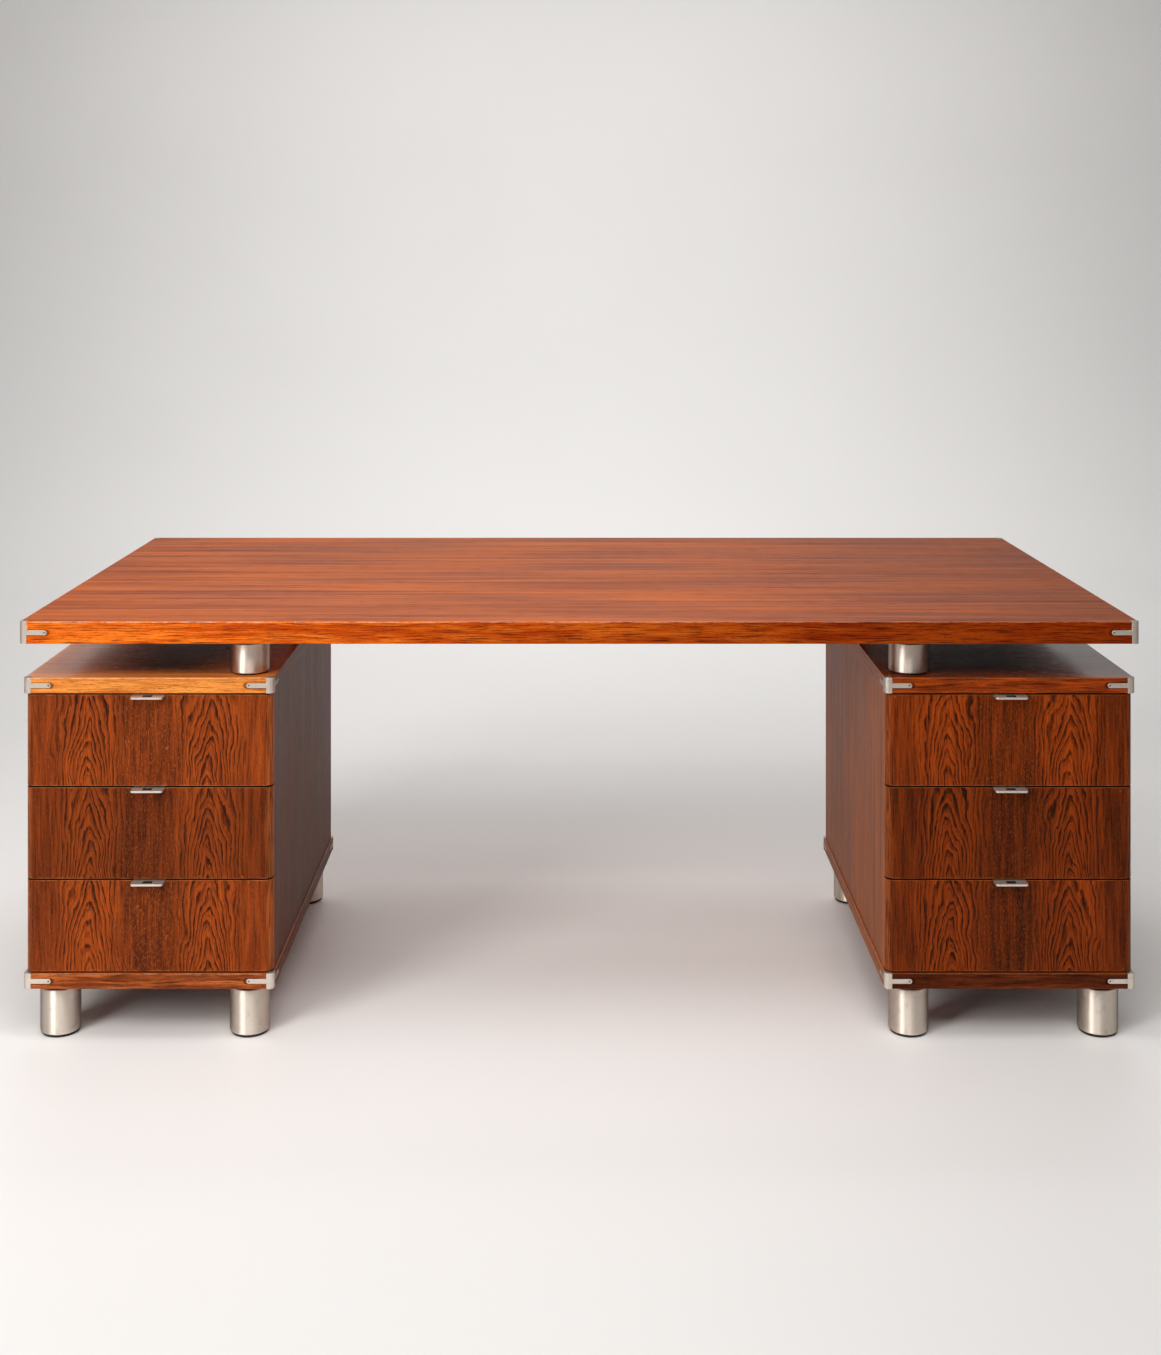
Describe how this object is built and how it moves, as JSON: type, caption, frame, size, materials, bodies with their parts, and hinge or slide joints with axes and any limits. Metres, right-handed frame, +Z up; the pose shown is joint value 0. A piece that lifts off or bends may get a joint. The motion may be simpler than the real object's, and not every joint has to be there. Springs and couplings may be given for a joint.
{
  "type": "executive desk",
  "caption": "Executive desk: a slab top raised on short metal columns over drawer pedestals, with metal corner clips, flat slotted pulls and drawers that slide out on wooden runners.",
  "frame": {"origin": "on the floor under the middle of the desktop", "axes": "+X to the right when facing the drawers, +Y from the drawer side to the open back, +Z up"},
  "size_m": [2.0016, 1.0016, 0.762],
  "materials": {
    "wood_top": "satin lacquered veneer",
    "wood_edge": "satin lacquered solid lipping",
    "wood_front": "satin lacquered figured veneer",
    "wood_side": "satin lacquered veneer",
    "drawer_wood": "waxed hardwood",
    "nickel": "satin nickel plate",
    "bolt_steel": "dull zinc",
    "black_nylon": "matt black"
  },
  "bodies": {
    "desk_frame": {"desktop_panel": "wood_top", "desktop_lippings": "wood_edge", "desktop_corner_clips": "nickel", "clip_pins": "bolt_steel", "spacer_columns": "nickel", "spacer_pads": "black_nylon", "column_necks": "black_nylon", "spacer_bolts": "bolt_steel", "leg_bolts": "bolt_steel", "leg_glides": "black_nylon", "carcass_dowels": "drawer_wood", "left_top_slab": "wood_top", "left_bottom_slab": "wood_top", "left_slab_lippings": "wood_edge", "left_outer_side_panel": "wood_side", "left_inner_side_panel": "wood_side", "left_back_panel": "wood_front", "left_corner_clips": "nickel", "left_legs": "nickel", "left_drawer_runners": "drawer_wood", "right_top_slab": "wood_top", "right_bottom_slab": "wood_top", "right_slab_lippings": "wood_edge", "right_outer_side_panel": "wood_side", "right_inner_side_panel": "wood_side", "right_back_panel": "wood_front", "right_corner_clips": "nickel", "right_legs": "nickel", "right_drawer_runners": "drawer_wood"},
    "left_bottom_drawer": {"left_bottom_drawer_front": "wood_front", "left_bottom_drawer_pull": "nickel", "left_bottom_drawer_sides": "drawer_wood", "left_bottom_drawer_back": "drawer_wood", "left_bottom_drawer_bottom": "drawer_wood"},
    "left_middle_drawer": {"left_middle_drawer_front": "wood_front", "left_middle_drawer_pull": "nickel", "left_middle_drawer_sides": "drawer_wood", "left_middle_drawer_back": "drawer_wood", "left_middle_drawer_bottom": "drawer_wood"},
    "left_top_drawer": {"left_top_drawer_front": "wood_front", "left_top_drawer_pull": "nickel", "left_top_drawer_sides": "drawer_wood", "left_top_drawer_back": "drawer_wood", "left_top_drawer_bottom": "drawer_wood"},
    "right_bottom_drawer": {"right_bottom_drawer_front": "wood_front", "right_bottom_drawer_pull": "nickel", "right_bottom_drawer_sides": "drawer_wood", "right_bottom_drawer_back": "drawer_wood", "right_bottom_drawer_bottom": "drawer_wood"},
    "right_middle_drawer": {"right_middle_drawer_front": "wood_front", "right_middle_drawer_pull": "nickel", "right_middle_drawer_sides": "drawer_wood", "right_middle_drawer_back": "drawer_wood", "right_middle_drawer_bottom": "drawer_wood"},
    "right_top_drawer": {"right_top_drawer_front": "wood_front", "right_top_drawer_pull": "nickel", "right_top_drawer_sides": "drawer_wood", "right_top_drawer_back": "drawer_wood", "right_top_drawer_bottom": "drawer_wood"}
  },
  "joints": [
    {"name": "left_bottom_drawer_slide", "type": "slide", "parent": "desk_frame", "child": "left_bottom_drawer", "axis": [0, -1, 0], "range_m": [0, 0.45]},
    {"name": "left_middle_drawer_slide", "type": "slide", "parent": "desk_frame", "child": "left_middle_drawer", "axis": [0, -1, 0], "range_m": [0, 0.45]},
    {"name": "left_top_drawer_slide", "type": "slide", "parent": "desk_frame", "child": "left_top_drawer", "axis": [0, -1, 0], "range_m": [0, 0.45]},
    {"name": "right_bottom_drawer_slide", "type": "slide", "parent": "desk_frame", "child": "right_bottom_drawer", "axis": [0, -1, 0], "range_m": [0, 0.45]},
    {"name": "right_middle_drawer_slide", "type": "slide", "parent": "desk_frame", "child": "right_middle_drawer", "axis": [0, -1, 0], "range_m": [0, 0.45]},
    {"name": "right_top_drawer_slide", "type": "slide", "parent": "desk_frame", "child": "right_top_drawer", "axis": [0, -1, 0], "range_m": [0, 0.45]}
  ]
}
